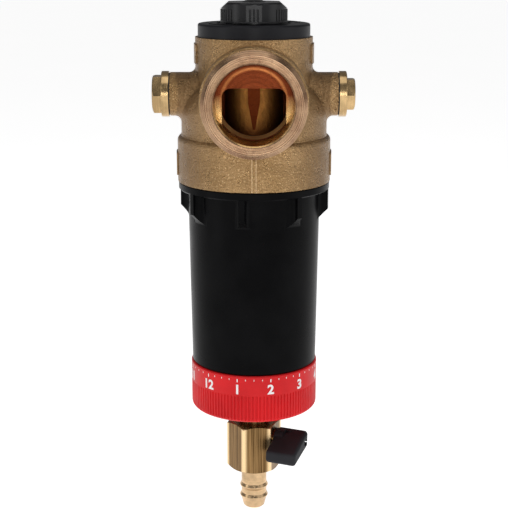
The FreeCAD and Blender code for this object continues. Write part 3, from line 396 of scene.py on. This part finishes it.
def woven_screen(axis_y):
    """Fine stainless mesh: two crossed sets of wires round the bowl's axis."""
    s = Shader("woven_screen")
    x, y, z = s.xyz()
    turn = s.math("ARCTAN2", s.math("SUBTRACT", y, axis_y), x)
    upright = s.math("SINE", s.times(turn, WIRES_ROUND))
    level = s.math("SINE", s.times(z, WIRES_UP))
    wires = s.times(upright, level)
    s.set(Base_Color=s.mix(s.ramp(wires, (-0.6, 0.6)), (0.25, 0.25, 0.26), (0.62, 0.62, 0.63)), Metallic=1.0)
    s.set(Roughness=0.4, Normal=s.bump(wires, 0.6, 0.0002))
    return s.material


def ink():
    s = Shader("white_ink")
    worn = s.noise(1500, 3, 0.6)
    s.set(Base_Color=s.mix(s.ramp(worn, (0.25, 0.6)), (0.74, 0.68, 0.68), (0.88, 0.86, 0.86)), Roughness=0.45)
    return s.material


def floor_paint():
    """Pale paint with a faint glow of its own, which keeps the floor near white under the soft light."""
    s = Shader("pale_floor")
    cloud = s.noise(3, 2, 0.5)
    s.set(Base_Color=s.mix(s.ramp(cloud, (0.3, 0.7)), (0.93, 0.93, 0.93), (0.95, 0.95, 0.95)), Roughness=0.9)
    s.set(Emission_Color=(1, 1, 1, 1), Emission_Strength=FLOOR_GLOW)
    return s.material


# ---------------------------------------------------------------- printed month scale

def wrapped(name, flat, radius, centre_y, start_deg, base_z, material):
    """Wraps a flat bmesh (x along the band, y up, z outwards) round the ring and makes it an object."""
    for v in flat.verts:
        angle = math.radians(start_deg) + v.co.x / radius
        out = radius + v.co.z
        v.co = Vector((out * math.sin(angle), centre_y - out * math.cos(angle), base_z + v.co.y))
    mesh = bpy.data.meshes.new(name)
    flat.to_mesh(mesh)
    flat.free()
    piece = bpy.data.objects.new(name, mesh)
    bpy.context.scene.collection.objects.link(piece)
    mesh.materials.append(material)
    return piece


def number_mesh(text):
    """The flat mesh of a number, centred, standing on y = 0."""
    curve = bpy.data.curves.new("number", "FONT")
    curve.body = text
    curve.align_x = "CENTER"
    curve.size = NUMBER_HEIGHT / CAPITAL_SHARE
    curve.extrude = INK_THICKNESS / 2
    curve.resolution_u = 4
    curve.offset = NUMBER_HEIGHT * NUMBER_BOLDNESS
    holder = bpy.data.objects.new("number", curve)
    bpy.context.scene.collection.objects.link(holder)
    bpy.context.view_layer.update()
    made = bmesh.new()
    made.from_mesh(holder.to_mesh())
    holder.to_mesh_clear()
    bpy.data.objects.remove(holder)
    bmesh.ops.remove_doubles(made, verts=made.verts, dist=1e-6)
    return made


def bar_mesh(width, height):
    """A flat bar centred on x, standing on y = 0."""
    made = bmesh.new()
    corners = [(-width / 2, 0), (width / 2, 0), (width / 2, height), (-width / 2, height)]
    back = [made.verts.new((x, y, -INK_THICKNESS / 2)) for x, y in corners]
    front = [made.verts.new((x, y, INK_THICKNESS / 2)) for x, y in corners]
    made.faces.new(front)
    made.faces.new(back[::-1])
    for i in range(4):
        j = (i + 1) % 4
        made.faces.new((back[i], back[j], front[j], front[i]))
    return made


def month_scale():
    """Numbers 1 to 12 with a tick over each and short ticks between, printed on the ring's smooth band."""
    low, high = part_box("month_ring")
    radius = (high.x - low.x) / 2 + INK_PROUD
    centre_y = (low.y + high.y) / 2
    white = ink()
    pieces = []
    for k in range(MONTHS):
        turn = k * 360 / MONTHS + SCALE_START_DEG
        number = number_mesh(str(k + 1))
        base_z = high.z - NUMBER_DROP
        pieces.append(wrapped(f"month_number_{k + 1}", number, radius, centre_y, turn, base_z, white))
    for k in range(MONTHS * TICKS_PER_MONTH):
        width, height = SHORT_TICK if k % TICKS_PER_MONTH else MONTH_TICK
        turn = k * 360 / (MONTHS * TICKS_PER_MONTH) + SCALE_START_DEG
        base_z = high.z - TICK_DROP - height
        tick = bar_mesh(width, height)
        pieces.append(wrapped(f"month_tick_{k + 1}", tick, radius, centre_y, turn, base_z, white))
    for piece in pieces:
        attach(piece, "ring")


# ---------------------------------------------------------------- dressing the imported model

def dress(nodes, axis_y):
    brass_side = turned_brass("turned_brass_side", (4200, 60, 60))
    brass_up = turned_brass("turned_brass_upright", (60, 60, 4200), TURNED_PALE)
    brass_hex = drawn_hexagon(axis_y)
    black = moulded("black_moulded_plastic", (0.0008, 0.0008, 0.0011), 0.28, specular=0.045)
    satin = moulded("satin_black_plastic", (0.006, 0.006, 0.008), 0.40, grain=1900, bump=0.3, specular=0.18)
    grip = moulded("knob_black_plastic", (0.004, 0.004, 0.005), 0.27, grain=1900, bump=0.15, specular=0.30)
    dull = moulded("dull_black_plastic", (0.016, 0.016, 0.019), 0.55, grain=1500, bump=0.4, specular=0.16)
    red = moulded("red_moulded_plastic", (0.55, 0.006, 0.009), 0.38, specular=0.20)
    white = moulded("white_moulded_plastic", (0.72, 0.72, 0.70), 0.45)
    bright = steel("stainless_steel", (0.62, 0.62, 0.63), 0.22)
    wire = steel("drawn_spring_wire", (0.42, 0.42, 0.44), 0.28, across=(3000, 3000, 300))
    chrome = steel("chromed_ball", (0.82, 0.82, 0.84), 0.08, across=(200, 200, 200))
    nickel = steel("nickel_plated_magnet", (0.66, 0.64, 0.60), 0.14, across=(300, 300, 5000))
    looks = {
        cast_brass(axis_y): ["body_casting"],
        brass_side: ["gauge_plug_left", "gauge_plug_right"],
        brass_up: ["hose_barb", "spindle", "valve_stem", "stem_nut_upper", "stem_nut_lower"],
        brass_hex: ["drain_valve_body", "gland_nut", "drain_stem"],
        black: ["filter_bowl"],
        satin: ["bonnet"],
        grip: ["knob", "knob_cap"],
        dull: ["drain_lever"],
        red: ["month_ring"],
        rubber(): ["plug_seal_left", "plug_seal_right", "diaphragm", "valve_seal", "bowl_o_ring",
                   "head_o_ring", "stem_o_ring", "drain_gasket"],
        white: ["element_head", "element_base", "screen_cage", "backwash_rotor", "slip_ring", "magnet_plug",
                "ball_seat_upper", "ball_seat_lower"],
        bright: ["seat_ring", "valve_disc", "diaphragm_disc", "magnet_sleeve", "pole_pieces", "spring_plate",
                 "ring_clip", "knob_screw", "lever_screw"],
        woven_screen(axis_y): ["filter_screen"],
        wire: ["setting_spring", "return_spring"],
        chrome: ["drain_ball"],
        nickel: ["magnet_stack"],
    }
    for material, names in looks.items():
        for name in names:
            nodes[name].data.materials.clear()
            nodes[name].data.materials.append(material)


# ---------------------------------------------------------------- light, floor and camera

def area_light(name, place, target, size, power):
    data = bpy.data.lights.new(name, "AREA")
    data.shape = "RECTANGLE"
    data.size, data.size_y = size
    data.energy = power
    lamp = bpy.data.objects.new(name, data)
    lamp.location = place
    lamp.rotation_euler = (Vector(target) - Vector(place)).to_track_quat("-Z", "Y").to_euler()
    bpy.context.scene.collection.objects.link(lamp)


def studio(axis_y, low_z):
    """An even world, soft boxes at the sides, above and in front, and a wide pale floor under the object."""
    world = bpy.data.worlds.new("studio")
    world.use_nodes = True
    world.node_tree.nodes["Background"].inputs["Color"].default_value = (1, 1, 1, 1)
    world.node_tree.nodes["Background"].inputs["Strength"].default_value = WORLD_STRENGTH
    bpy.context.scene.world = world
    bpy.context.scene.view_settings.view_transform = "Standard"
    middle = (0, axis_y, -0.08)
    ports = (0, axis_y, 0)
    area_light("left_box", (-0.75, axis_y - 0.35, 0.10), middle, (0.25, 1.1), 1.2)
    area_light("right_box", (0.80, axis_y - 0.30, 0.05), middle, (0.45, 1.1), 1.2)
    area_light("top_box", (0.0, axis_y - 0.15, 0.95), middle, (0.9, 0.7), 2.6)
    area_light("upper_left_box", (-0.55, axis_y - 0.75, 0.62), ports, (0.3, 0.3), 0.9)
    area_light("upper_right_box", (0.62, axis_y - 0.70, 0.50), ports, (0.22, 0.4), 0.6)
    area_light("front_box", (0.05, axis_y - 1.25, 0.12), ports, (0.3, 0.3), 1.7)
    mesh = bpy.data.meshes.new("floor")
    made = bmesh.new()
    bmesh.ops.create_grid(made, x_segments=1, y_segments=1, size=FLOOR_SIZE)
    made.to_mesh(mesh)
    made.free()
    mesh.materials.append(floor_paint())
    floor = bpy.data.objects.new("floor", mesh)
    floor.location = (0, 0, low_z - FLOOR_GAP)
    bpy.context.scene.collection.objects.link(floor)


def camera(axis_y):
    data = bpy.data.cameras.new("camera")
    data.lens = CAMERA_LENS
    data.sensor_width = SENSOR_WIDTH
    eye = bpy.data.objects.new("camera", data)
    eye.location = (0, axis_y - CAMERA_DISTANCE, CAMERA_HEIGHT)
    eye.rotation_euler = (math.radians(90 - CAMERA_PITCH_DEG), 0, 0)
    bpy.context.scene.collection.objects.link(eye)
    bpy.context.scene.camera = eye


def main():
    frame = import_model()
    cad_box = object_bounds()
    knob_low, knob_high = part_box("knob")
    axis_y = (knob_low.y + knob_high.y) / 2
    camera(axis_y)
    dress(frame["nodes"], axis_y)
    month_scale()
    studio(axis_y, cad_box[0][2])


main()
